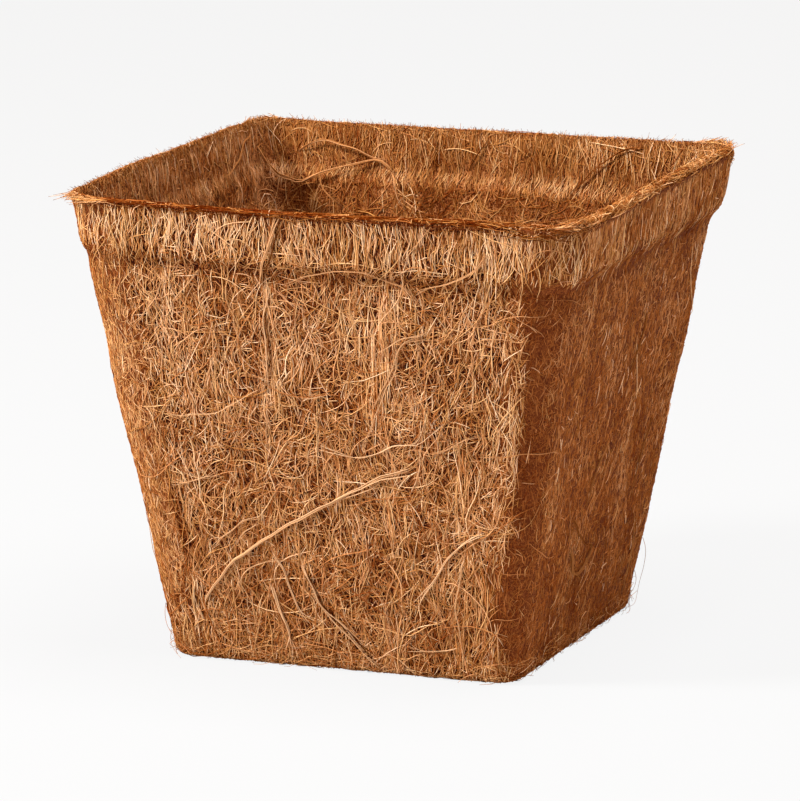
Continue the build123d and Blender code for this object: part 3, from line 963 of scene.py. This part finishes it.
def rim_rope(wall, count, lying, tint, over, straw, seed):
    """Fibres on the lip's edge: a share of them lie along it, the others come over it from the collar.

    tint is the tint of those that lie along it, and over of those that come over it."""
    draw = np.random.default_rng(seed)
    s = np.linspace(-0.5, 0.5, ROPE.points)
    edge = EDGES[wall]
    along = draw.uniform(size=(count, 1)) < lying
    heading = np.where(along, draw.normal(0, 0.25, (count, 1)), math.pi / 2 + draw.normal(0, 0.5, (count, 1)))
    length = np.where(along, draw.uniform(4.0, 13.0, (count, 1)), draw.uniform(2.0, 4.5, (count, 1)))
    x = draw.uniform(-RIM_REACH, RIM_REACH, (count, 1))
    sway = draw.normal(0, 0.4, (count, 1)) * np.sin(s * draw.uniform(2, 9, (count, 1)) + x)
    xs = x + s * length * np.cos(heading)
    ts = draw.uniform(0.8, edge.t[-1] - 0.3, (count, 1)) + s * length * np.sin(heading) + sway
    lift, radii = arched(draw, ROPE, count)
    place = x[:, 0]
    tints = np.where(along[:, 0], tint, over) + 0.06 * patches(seed, 7.0)(place, place)
    tints += 0.2 * rising(place, 28, 48) * (wall == 0)
    colours = shades(draw, tints + draw.normal(0, ROPE_SPREADS[wall], count), straw)
    paths = on_felt(edge, wall, xs, np.clip(ts, 0.1, edge.t[-1]), lift)
    paths[..., 2] += puffed(wall, xs) * draw.uniform(size=(count, 1))
    paths[..., 2] -= hanging(wall, xs) * draw.uniform(size=(count, 1)) ** 1.5
    return paths, radii, colours


def rim_fringe(wall, count, tint, tall, seed):
    """Cut ends that stand up along the rim, rooted on the inside of the collar."""
    draw = np.random.default_rng(seed)
    u = np.linspace(0, 1, 4)
    top = float(up_to(INSIDE, HEIGHT - 0.6))
    ts = top + draw.uniform(-0.5, 1.5, (count, 1)) - draw.uniform(1.0, 4.0, (count, 1)) * (1 - u)
    xs = draw.uniform(-RIM_REACH, RIM_REACH, (count, 1)) + draw.normal(0, 0.8, (count, 1)) * u
    paths = on_felt(INSIDE, wall, xs, ts, draw.uniform(-0.1, 0.4, (count, 1)) * np.sin(u * 3) - 0.1)
    lean_out(paths, draw.normal(0.2, 0.6, (count, 1)) * u ** 2)
    paths[..., 2] += draw.gamma(1.6, tall / 1.6, (count, 1)) * u ** 2
    radii = thinning(draw, 0.11, 0.16, count, u)
    return paths, radii, shades(draw, draw.normal(tint, 0.13, count), 0.7)


def corner_tip(wall, count, out, rise, straw, seed):
    """A tuft at a wall's right corner, whose fibres lean out over the corner to a tip."""
    draw = np.random.default_rng(seed)
    u = np.linspace(0, 1, 6)
    start = TIP_CORNER + draw.uniform(-9, 9, (count, 1))
    xs = start + (TIP_CORNER - start) * u * draw.uniform(0.5, 0.9, (count, 1))
    paths = on_felt(EDGE, wall, xs, draw.uniform(1.5, EDGE.t[-1], (count, 1)) + 0 * u, -0.15)
    lean_out(paths, draw.gamma(3.0, out / 3, (count, 1)) * u ** 2)
    paths[..., 2] += draw.normal(rise, 0.4 + 0.3 * abs(rise), (count, 1)) * u ** 2
    radii = thinning(draw, 0.13, 0.2, count, u)
    return paths, radii, shades(draw, draw.normal(0.56, 0.14, count), straw)


# For each wall: fibres on the edge, the share that lie along it, their tint and the tint of the others, then
# the cut ends, how tall they are, and the share of straw in the rope.
RIMS = [(900, 0.7, 0.07, 0.36, 300, 0.2, 0.8), (1000, 0.6, 0.46, 0.42, 600, 0.2, 0.7),
        (260, 0.25, 0.36, 0.44, 1300, 0.28, 0.6), (300, 0.25, 0.34, 0.42, 1300, 0.26, 0.5)]
rims = []
for wall, (rope, lying, tint, over, fringe, tall, straw) in enumerate(RIMS):
    rims.append(rim_rope(wall, rope, lying, tint, over, straw, 2000 + wall))
    rims.append(rim_fringe(wall, fringe, over, tall, 2100 + wall))
spun("rim_fibres", rims, "coir_felt")
# For each wall's right corner: fibres, how far the tip leans out and rises, and its share of straw.
TIPS = [(480, 0.8, 0.3, 0.5), (420, 1.5, 0.5, 0.6), (420, 0.8, 0.2, 0.6), (260, 1.9, -0.1, 0.8)]
spun("corner_tip_fibres", [corner_tip(wall, *tip, 2200 + wall) for wall, tip in enumerate(TIPS)], "coir_lap")

# %% [markdown]
# ## Coarse strands
# A few strands are bundles that the combing didn't open, up to a millimetre thick. Each follows a
# route of a few points on the sheet, eased into one sweep. It rests on the felt and its ends taper
# and go under. The routes are those of the solids: across as a share of half the wall's width at
# that height, and up as a share of the shoulder's height.

# %% Routes of the coarse strands
COARSE, MIDDLE, FINE = 1.0, 0.7, 0.5
OUTER_ROUTES = {
    "front": [
        (COARSE, [(-0.74, 0.15), (-0.54, 0.26), (-0.24, 0.36), (0.03, 0.44), (0.27, 0.51), (0.42, 0.53)]),
        (COARSE, [(-0.35, 0.22), (-0.31, 0.15), (-0.27, 0.08), (-0.26, 0.03)]),
        (MIDDLE, [(-0.18, 0.28), (-0.13, 0.22), (-0.07, 0.16), (0.08, 0.10), (0.19, 0.05)]),
        (MIDDLE, [(-0.32, 0.30), (-0.26, 0.25), (-0.23, 0.18), (-0.16, 0.10)]),
        (FINE, [(-0.64, 0.29), (-0.44, 0.37), (-0.30, 0.38)]),
        (FINE, [(-0.20, 0.97), (-0.23, 0.87), (-0.23, 0.77), (-0.25, 0.68)]),
        (FINE, [(-0.04, 0.58), (0.06, 0.56), (0.18, 0.55), (0.32, 0.59), (0.44, 0.60), (0.50, 0.68)]),
        (FINE, [(0.47, 0.87), (0.36, 0.85), (0.30, 0.76), (0.23, 0.66)]),
        (MIDDLE, [(0.77, 0.39), (0.66, 0.36), (0.58, 0.31), (0.50, 0.24), (0.43, 0.18)]),
        (FINE, [(0.69, 0.09), (0.52, 0.07), (0.36, 0.08)]),
        (FINE, [(-0.79, 0.45), (-0.65, 0.46), (-0.51, 0.50)]),
    ],
    "right": [
        (MIDDLE, [(0.20, 0.83), (0.15, 0.74), (0.07, 0.66)]),
        (MIDDLE, [(-0.05, 0.53), (-0.19, 0.47), (-0.27, 0.38)]),
        (COARSE, [(-0.42, 0.30), (-0.32, 0.22), (-0.16, 0.20), (0.00, 0.26)]),
        (FINE, [(0.62, 0.52), (0.52, 0.44), (0.45, 0.32)]),
    ],
    "back": [
        (MIDDLE, [(-0.66, 0.70), (-0.46, 0.64), (-0.24, 0.66), (-0.05, 0.76)]),
        (COARSE, [(0.62, 0.22), (0.44, 0.32), (0.22, 0.36), (0.00, 0.32)]),
        (FINE, [(0.60, 0.86), (0.52, 0.74), (0.50, 0.60)]),
        (FINE, [(-0.55, 0.12), (-0.36, 0.18), (-0.22, 0.28)]),
        (MIDDLE, [(-0.62, 0.46), (-0.44, 0.42), (-0.28, 0.47)]),
    ],
    "left": [
        (MIDDLE, [(-0.58, 0.82), (-0.40, 0.76), (-0.20, 0.78), (-0.04, 0.86)]),
        (COARSE, [(-0.62, 0.30), (-0.42, 0.24), (-0.18, 0.26), (0.02, 0.36)]),
        (FINE, [(0.56, 0.72), (0.46, 0.60), (0.48, 0.48)]),
        (MIDDLE, [(0.60, 0.14), (0.42, 0.20), (0.26, 0.16)]),
        (FINE, [(-0.30, 0.56), (-0.12, 0.60), (0.04, 0.54)]),
    ],
}
INNER_ROUTES = {
    "front": [(MIDDLE, [(-0.50, 0.72), (-0.32, 0.66), (-0.10, 0.70), (0.08, 0.80)]),
              (FINE, [(0.40, 0.44), (0.24, 0.38), (0.06, 0.42)])],
    "right": [(MIDDLE, [(0.48, 0.84), (0.32, 0.76), (0.12, 0.74), (-0.08, 0.80)]),
              (FINE, [(-0.44, 0.52), (-0.28, 0.46), (-0.10, 0.48)])],
    "back": [(MIDDLE, [(-0.38, 0.96), (-0.46, 0.86), (-0.58, 0.78)]),
             (FINE, [(0.42, 0.95), (0.34, 0.84), (0.20, 0.78), (0.04, 0.82)]),
             (FINE, [(0.52, 0.50), (0.36, 0.42), (0.16, 0.44)])],
    "left": [(MIDDLE, [(-0.12, 0.96), (-0.06, 0.85), (-0.10, 0.74)]),
             (FINE, [(0.46, 0.58), (0.28, 0.64), (0.10, 0.60)])],
}
FLOOR_ROUTES = [
    (MIDDLE, [(-0.62, -0.40), (-0.38, -0.22), (-0.10, -0.28), (0.14, -0.16)]),
    (FINE, [(0.60, 0.10), (0.40, 0.30), (0.14, 0.34)]),
    (FINE, [(-0.50, 0.56), (-0.28, 0.44), (-0.08, 0.56)]),
]
STRAND_POINTS = 24
STRAND_TINTS = [0.78, 0.34, 0.55, 0.55]   # by wall
STRAND_TAPER = 3.0    # stretch over which a strand's end thins and goes under
SWEEP_EASE = 6.0      # stretch that a route's bends are averaged over
FORK = 1.3            # how far a strand's fibres part at its far end
WOBBLE = 0.12         # how far a strand strays from its sweep, every few millimetres


def sweep(route):
    """A route eased into one sweep with a fixed number of points."""
    steps, line = eased(route, SWEEP_EASE)
    places = np.linspace(0, steps[-1], STRAND_POINTS)
    return np.stack([np.interp(places, steps, column) for column in line.T], axis=1)


def strands(name, routes, place, nodes, tint=0.52, seed=0, stand=0.0):
    """Coarse strands along routes on a sheet. Each is three fibres, slowly twisted, that part at its ends.

    routes are (width, line) pairs, place(x, t, lift) bends them round the pot, and their middles stand off
    the felt by stand."""
    draw = np.random.default_rng(seed)
    u = np.linspace(0, 1, STRAND_POINTS)
    paths, radii, tints = [], [], []
    for width, line in routes:
        swept = sweep(line)
        run = np.gradient(swept, axis=0)
        along = np.cumsum(np.linalg.norm(run, axis=1))
        stray = WOBBLE * np.sin(along / draw.uniform(1.0, 1.6) + draw.uniform(0, 6))
        reach = np.linalg.norm(np.diff(swept, axis=0), axis=1).sum()
        taper = np.clip(np.minimum(u, 1 - u) * reach / STRAND_TAPER, 0, 1) ** 0.7
        aside = np.stack([-run[:, 1], run[:, 0]], axis=1) / np.linalg.norm(run, axis=1)[:, None]
        proud = FUZZ + width * 0.2 + stand * (0.4 + 0.6 * np.sin(u * math.pi))
        lift = proud * taper - width * 0.3 * (1 - taper)
        twist = draw.uniform(0, 6) + draw.uniform(3, 7) * u
        own = draw.normal(tint, 0.05)
        for fibre in range(3):
            turn = twist + fibre * 2 * math.pi / 3
            fork = draw.normal(0, FORK) * np.clip(u - 0.6, 0, 1) ** 2 * 6
            fork = (fork + draw.normal(0, 0.5) * np.clip(0.3 - u, 0, 1) * 3) / (1 + 4 * stand)
            part = 0.2 * width * np.cos(turn) + stray + fork
            spot = swept + aside * part[:, None]
            paths.append(place(spot[:, 0], spot[:, 1], lift + 0.16 * width * np.sin(turn) * taper))
            radii.append(width * draw.uniform(0.11, 0.17) * (0.25 + 0.75 * taper) * (1.1 - 0.4 * u))
            tints.append(own + draw.normal(0, 0.07))
    layer = (np.array(paths), np.array(radii), np.clip(tints, DARKEST, LIGHTEST))
    spun(name, [layer], "coir_strand", *nodes, sides=5, material=STRAND)


for wall, wall_name in enumerate(WALLS):
    for face, routes, node in ((OUTSIDE, OUTER_ROUTES, "strands"), (INSIDE, INNER_ROUTES, "inner_strands")):
        lines = []
        for width, route in routes[wall_name]:
            across, up = np.array(route).T
            half = BASE_HALF + SLOPE * up * SHOULDER_FOOT - (INNER if face is INSIDE else 0)
            lines.append((width, np.stack([across * half, up_to(face, up * SHOULDER_FOOT)], axis=1)))
        strands(f"{wall_name}_{node}_spun", lines, partial(on_felt, face, wall), [f"{wall_name}_{node}"],
                STRAND_TINTS[wall], 3000 + wall)


def on_floor(x, y, lift):
    """Points on the pot's floor."""
    return np.stack([x, y, FELT - FUZZ + lift], axis=-1)


FLOOR_HALF = BASE_HALF - INNER + SLOPE * FELT
strands("floor_strands_spun", [(width, np.array(route) * FLOOR_HALF) for width, route in FLOOR_ROUTES],
        on_floor, ["floor_strands"], seed=3100)

# %% [markdown]
# A few more strands cross the shoulder, where the solids have none, stand off the felt in a loop, or
# lie dark and low. Some dark ones are painted shadow: dark lines that stand in for the shadow of gaps
# between the fibres and beside a strand. Most are thinner, so they are drawn here only, by their
# places in millimetres: along the wall from its middle, and up from the ground.

# %% Strands across the shoulder and loops inside
LIGHT, LOOP, DARK, GAP_SHADOW = 0.7, 0.44, 0.2, 0.06
# Each piece has its face, its wall, its tint, how far its strands stand off, and their widths and routes.
MORE_STRANDS = {
    "front_more": (OUTSIDE, 0, LIGHT, 0.25, [
        (0.9, [(-7.6, 99.2), (-8.3, 96.9), (-9.8, 93.1), (-11.6, 87.3), (-12.6, 82.5)]),
        (0.4, [(-7.6, 83.8), (-3.4, 85.7), (2.4, 88.0), (10.2, 88.8), (14.9, 87.1), (20.1, 85.0),
               (25.3, 79.0)]),
        (0.7, [(38.5, 94.4), (35.2, 91.0), (32.6, 89.0), (27.1, 86.8), (21.0, 83.9)]),
        (0.3, [(33.0, 49.9), (38.2, 50.3), (43.3, 51.3), (49.0, 51.0), (54.9, 50.1)]),
        (0.4, [(-21.5, 16.3), (-20.5, 20.0), (-17.7, 22.5), (-13.0, 23.9), (-9.7, 23.8)]),
        (0.4, [(-21.8, 26.3), (-20.0, 29.0), (-18.2, 30.4), (-15.3, 32.4)]),
        (0.5, [(-10.8, 6.0), (-10.3, 2.7), (-11.0, 0.8)]),
        (0.5, [(-5.9, 18.0), (-3.0, 13.6), (5.9, 4.3), (10.1, 0.7)]),
        (0.35, [(24.9, 75.8), (19.4, 74.8), (14.7, 72.2), (12.2, 68.8)]),
        (0.35, [(17.4, 73.4), (16.6, 66.5), (14.1, 62.9), (11.3, 56.2), (7.8, 49.1)]),
        (0.35, [(23.3, 49.5), (26.7, 51.1), (30.7, 53.5), (34.9, 54.5)]),
        (0.35, [(-25.5, 86.0), (-31.8, 78.7), (-33.2, 77.0)]),
        (0.4, [(-33.2, 84.3), (-36.1, 78.5), (-41.8, 72.4)]),
        (0.4, [(-22.4, 75.3), (-23.7, 66.2), (-26.7, 59.4), (-28.3, 55.9)]),
        (0.35, [(-13.2, 61.4), (-18.4, 58.7), (-22.6, 55.7), (-35.3, 53.5)]),
        (0.35, [(-5.1, 59.7), (1.4, 60.7)]),
        (0.35, [(-12.5, 55.8), (-12.8, 47.1)]),
        (0.4, [(1.4, 38.1), (5.1, 39.1), (12.8, 43.1)]),
        (0.4, [(28.6, 27.0), (26.5, 15.9), (27.5, 9.3), (27.8, 3.1)])]),
    # Painted shadow: dark low strands that stand in for the shadow of gaps between fibres and beside a
    # strand.
    "front_gap": (OUTSIDE, 0, GAP_SHADOW, 0.0, [
        (0.7, [(-7.0, 22.7), (-2.8, 13.9), (0.7, 10.7), (4.9, 6.7), (9.5, 1.3)]),
        (0.35, [(-11.1, 79.4), (-11.1, 70.4), (-9.8, 61.2)]),
        (0.5, [(-6.6, 98.5), (-8.6, 93.1), (-10.6, 87.3), (-11.5, 82.5)])]),
    "back_loop": (INSIDE, 2, LOOP, 1.2, [
        (0.9, [(57.5, 94.3), (55.4, 89.5), (52.4, 87.7), (48.4, 86.7), (44.2, 86.4), (40.5, 87.3),
               (36.4, 88.5), (32.8, 90.4), (28.3, 91.8), (25.5, 91.4), (23.7, 89.8), (22.8, 87.9)]),
        (0.7, [(46.6, 92.1), (43.0, 95.1), (39.5, 95.7), (33.4, 94.3), (28.6, 92.3), (25.0, 91.6)]),
        (0.5, [(22.7, 91.2), (17.3, 96.4), (16.0, 98.2)]),
        (0.5, [(24.0, 89.3), (21.5, 86.6), (18.6, 82.2)]),
        (0.4, [(21.2, 89.8), (16.4, 86.7), (13.6, 82.5)]),
        (0.5, [(40.6, 90.2), (39.8, 87.0), (37.0, 84.9), (33.7, 81.8)])]),
    "back_dark": (INSIDE, 2, DARK, 0.4, [
        (0.6, [(-35.3, 98.3), (-30.4, 97.6), (-26.4, 95.4), (-22.2, 91.5), (-17.6, 86.6)]),
        (0.45, [(5.6, 90.3), (4.8, 93.0), (3.0, 96.1), (0.9, 98.4)]),
        (0.45, [(-6.4, 93.5), (-7.6, 95.8), (-9.3, 98.1)])]),
    "left_loop": (INSIDE, 3, LOOP, 0.8, [
        (0.6, [(-45.3, 96.8), (-39.9, 96.5), (-35.1, 92.3), (-26.2, 89.3)]),
        (0.35, [(-22.1, 96.0), (-18.5, 92.8), (-14.5, 90.1)])]),
    "right_dark": (OUTSIDE, 1, DARK, 0.2, [
        (0.7, [(-19.2, 32.2), (-13.3, 27.0), (-7.1, 24.0), (-0.6, 22.8)])]),
}
for number, (name, (face, wall, tint, stand, routes)) in enumerate(MORE_STRANDS.items()):
    lines = [(width, [(x, up_to(face, z)) for x, z in route]) for width, route in routes]
    strands(f"{name}_spun", lines, partial(on_felt, face, wall), [], tint, 3200 + number, stand)
print("coarse strands made")

# %% [markdown]
# ## Frayed foot and stray hairs
# Where the press cut the felt, at its foot, ends of fibre stick out over the ground. A few single
# hairs also stand off the walls. They are thin, but they break the pot's straight outline, and
# without them felt looks like carved wood.


# %% Frayed foot and stray hairs
def foot_fray(wall, count, seed):
    """Ends of fibre that stick out along the foot."""
    draw = np.random.default_rng(seed)
    u = np.linspace(0, 1, 7)
    reach = BASE_HALF - 1.0
    x = draw.uniform(-reach, reach, (count, 1))
    heading = draw.normal(0, 1, (count, 1)) * 0.5 + np.where(draw.uniform(size=(count, 1)) < 0.5, 1.4, -1.4)
    length = draw.uniform(3.0, 9.0, (count, 1))
    bend = draw.normal(0, 0.9, (count, 1))
    xs = x + length * u * np.sin(heading + bend * u)
    ts = float(up_to(OUTSIDE, 1.5)) + draw.uniform(-1.0, 3.0, (count, 1))
    ts = ts + length * u * np.cos(heading + bend * u) * 0.4
    lift = -0.1 + draw.gamma(2.0, 0.35, (count, 1)) * u ** 1.5
    radii = thinning(draw, 0.1, 0.17, count, u)
    colours = shades(draw, draw.normal(0.5, 0.15, count), 0.5)
    return on_felt(OUTSIDE, wall, xs, ts, lift), radii, colours


FRAYED = 260          # ends along each wall's foot
HAIR = 0.13           # thickness of a hair
# Each hair has its wall and a few spots: along the wall, up from the ground and off the felt.
HAIRS = [
    (3, [(37.0, 11.0, 0.2), (39.5, 8.0, 1.6), (42.0, 6.0, 3.6), (42.5, 3.5, 5.5)]),
    (3, [(36.0, 5.0, 0.2), (38.5, 3.0, 1.4), (41.0, 1.5, 3.0)]),
    (0, [(-37.0, 4.0, 0.2), (-39.5, 2.5, 1.0), (-43.0, 1.0, 2.0), (-46.0, 1.5, 3.0)]),
    (1, [(37.0, 16.0, 0.2), (39.0, 12.0, 2.5), (40.0, 6.0, 4.5), (39.0, 1.5, 4.0), (37.0, 0.8, 1.5)]),
    (1, [(35.0, 9.0, 0.2), (38.0, 5.0, 1.5), (40.0, 1.5, 2.5)]),
    (1, [(44.0, 45.0, 0.2), (46.0, 40.0, 1.5), (46.5, 34.0, 2.5), (46.0, 29.0, 1.2)]),
]
hair_paths = []
for wall, spots in HAIRS:
    along, up, off = sweep(spots).T
    hair_paths.append(on_felt(OUTSIDE, wall, along, up_to(OUTSIDE, up), off))
hair_radii = np.tile(HAIR / 2 * np.linspace(1.0, 0.5, STRAND_POINTS), (len(HAIRS), 1))
hair_tints = shades(np.random.default_rng(2400), np.full(len(HAIRS), 0.5), 0.5)
frayed = [foot_fray(wall, FRAYED, 2300 + wall) for wall in range(4)]
spun("fray_fibres", frayed + [(np.array(hair_paths), hair_radii, hair_tints)], "coir_felt")
print("frayed foot and", len(HAIRS), "stray hairs made")

# %% [markdown]
# ## Floor, light and camera
# The pot stands on a plain pale floor. More light could make it white, but would bleach the pot too.
# So the camera sees a floor that glows nearly white, and the light sees matt grey paper.

# %% Floor
FLOOR_SIZE = 6.0      # in metres
FLOOR_GLOW = 0.95     # share of the floor's own glow in what the camera sees
floor_mesh = bpy.data.meshes.new("studio_floor")
floor_grid = bmesh.new()
bmesh.ops.create_grid(floor_grid, x_segments=1, y_segments=1, size=FLOOR_SIZE)
floor_grid.to_mesh(floor_mesh)
floor_grid.free()
floor = bpy.data.objects.new("studio_floor", floor_mesh)
bpy.context.scene.collection.objects.link(floor)
paper, tree = new_material("studio_paper_matt")
matt = add(tree, "BsdfPrincipled", {"Base Color": linear("#d0d0d0"), "Roughness": 0.9,
                                    "Specular IOR Level": 0.1})
glow = add(tree, "Emission", {"Color": linear("#f5f5f5"), "Strength": 1.0})
seen = add(tree, "LightPath").outputs
looks = seen["Is Camera Ray"]
for ray in ("Is Glossy Ray", "Is Transmission Ray"):
    looks = add(tree, "Math", {0: looks, 1: seen[ray]}, operation="MAXIMUM").outputs["Value"]
share = add(tree, "Math", {0: looks, 1: FLOOR_GLOW}, operation="MULTIPLY").outputs["Value"]
blend = add(tree, "MixShader", {"Fac": share, 1: matt.outputs["BSDF"], 2: glow.outputs["Emission"]})
add(tree, "OutputMaterial", {"Surface": blend.outputs["Shader"]})
floor_mesh.materials.append(paper)
print("floor of", paper.name)

# %% [markdown]
# A small soft key lamp stands to the left, in front and above, so that it rakes over the front and
# every fibre there casts a shadow. A large lamp high on the right and a warm pale world fill the
# shade, or the right wall would be black.

# %% Light
LAMP_AIM = Vector((0, 0, 0.05))    # the pot's middle, in metres
scene = bpy.context.scene
scene.view_settings.view_transform = "Standard"
world = bpy.data.worlds.new("studio_world")
scene.world = world
world.use_nodes = True
sky = world.node_tree.nodes["Background"].inputs
sky["Color"].default_value = linear("#ffcfa8")
sky["Strength"].default_value = 0.345


def direction(right, up):
    """The way from the pot to a place, by its angles in degrees right of the front and above the floor."""
    right, up = math.radians(right), math.radians(up)
    return Vector((math.sin(right) * math.cos(up), -math.cos(right) * math.cos(up), math.sin(up)))


def stand_off(holder, way, distance, target):
    """Stands a lamp or a camera a distance off its target, facing it."""
    holder.location = target + way * distance
    holder.rotation_euler = (-way).to_track_quat("-Z", "Y").to_euler()
    scene.collection.objects.link(holder)


def lamp(name, right, up, distance, size, power):
    """A square soft lamp that faces the pot's middle. Its distance and size are in metres."""
    light = bpy.data.lights.new(name, "AREA")
    light.size = size
    light.energy = power
    stand_off(bpy.data.objects.new(name, light), direction(right, up), distance, LAMP_AIM)


lamp("key_lamp", -52.0, 42.0, 0.95, 0.22, 20.5)
lamp("top_lamp", 95.0, 75.0, 1.5, 0.9, 42.0)
print("lamps", [light.name for light in bpy.data.lights])

# %% [markdown]
# The camera stands where the photograph was taken from: far away, with a long lens, a little above
# the rim. Its place was fitted to the pot's corners in the photograph, so its numbers aren't round.

# %% Camera
AZIMUTH, ELEVATION = 20.4423, 11.3273     # in degrees
DISTANCE = 1.25911                        # in metres
AIM_HEIGHT, AIM_LEFT = 0.05047, 0.00117   # where the camera aims: above the ground, and left of the middle
FOCAL_PIXELS = 5893.6
IMAGE_WIDTH = 800
SENSOR = 36.0
camera_data = bpy.data.cameras.new("photo_camera")
camera_data.sensor_fit = "HORIZONTAL"
camera_data.sensor_width = SENSOR
camera_data.lens = FOCAL_PIXELS * SENSOR / IMAGE_WIDTH
camera_data.clip_end = 20.0
camera = bpy.data.objects.new("photo_camera", camera_data)
across = direction(AZIMUTH + 90, 0)
stand_off(camera, direction(AZIMUTH, ELEVATION), DISTANCE, Vector((0.0, 0.0, AIM_HEIGHT)) - AIM_LEFT * across)
scene.camera = camera
print("lens", round(camera_data.lens, 1), "mm")

# %% [markdown]
# ## Counting the fibres
# The fibre pieces' triangles are counted, and their total and the largest piece are printed.

# %% Count the fibres' triangles
triangles = {}
for piece in bpy.data.objects:
    if piece.type == "MESH" and piece.name.endswith(("_fibres", "_spun")):
        triangles[piece.name] = sum(len(face.vertices) - 2 for face in piece.data.polygons)
largest = max(triangles, key=triangles.get)
print("fibre triangles", sum(triangles.values()), "largest", largest, triangles[largest])
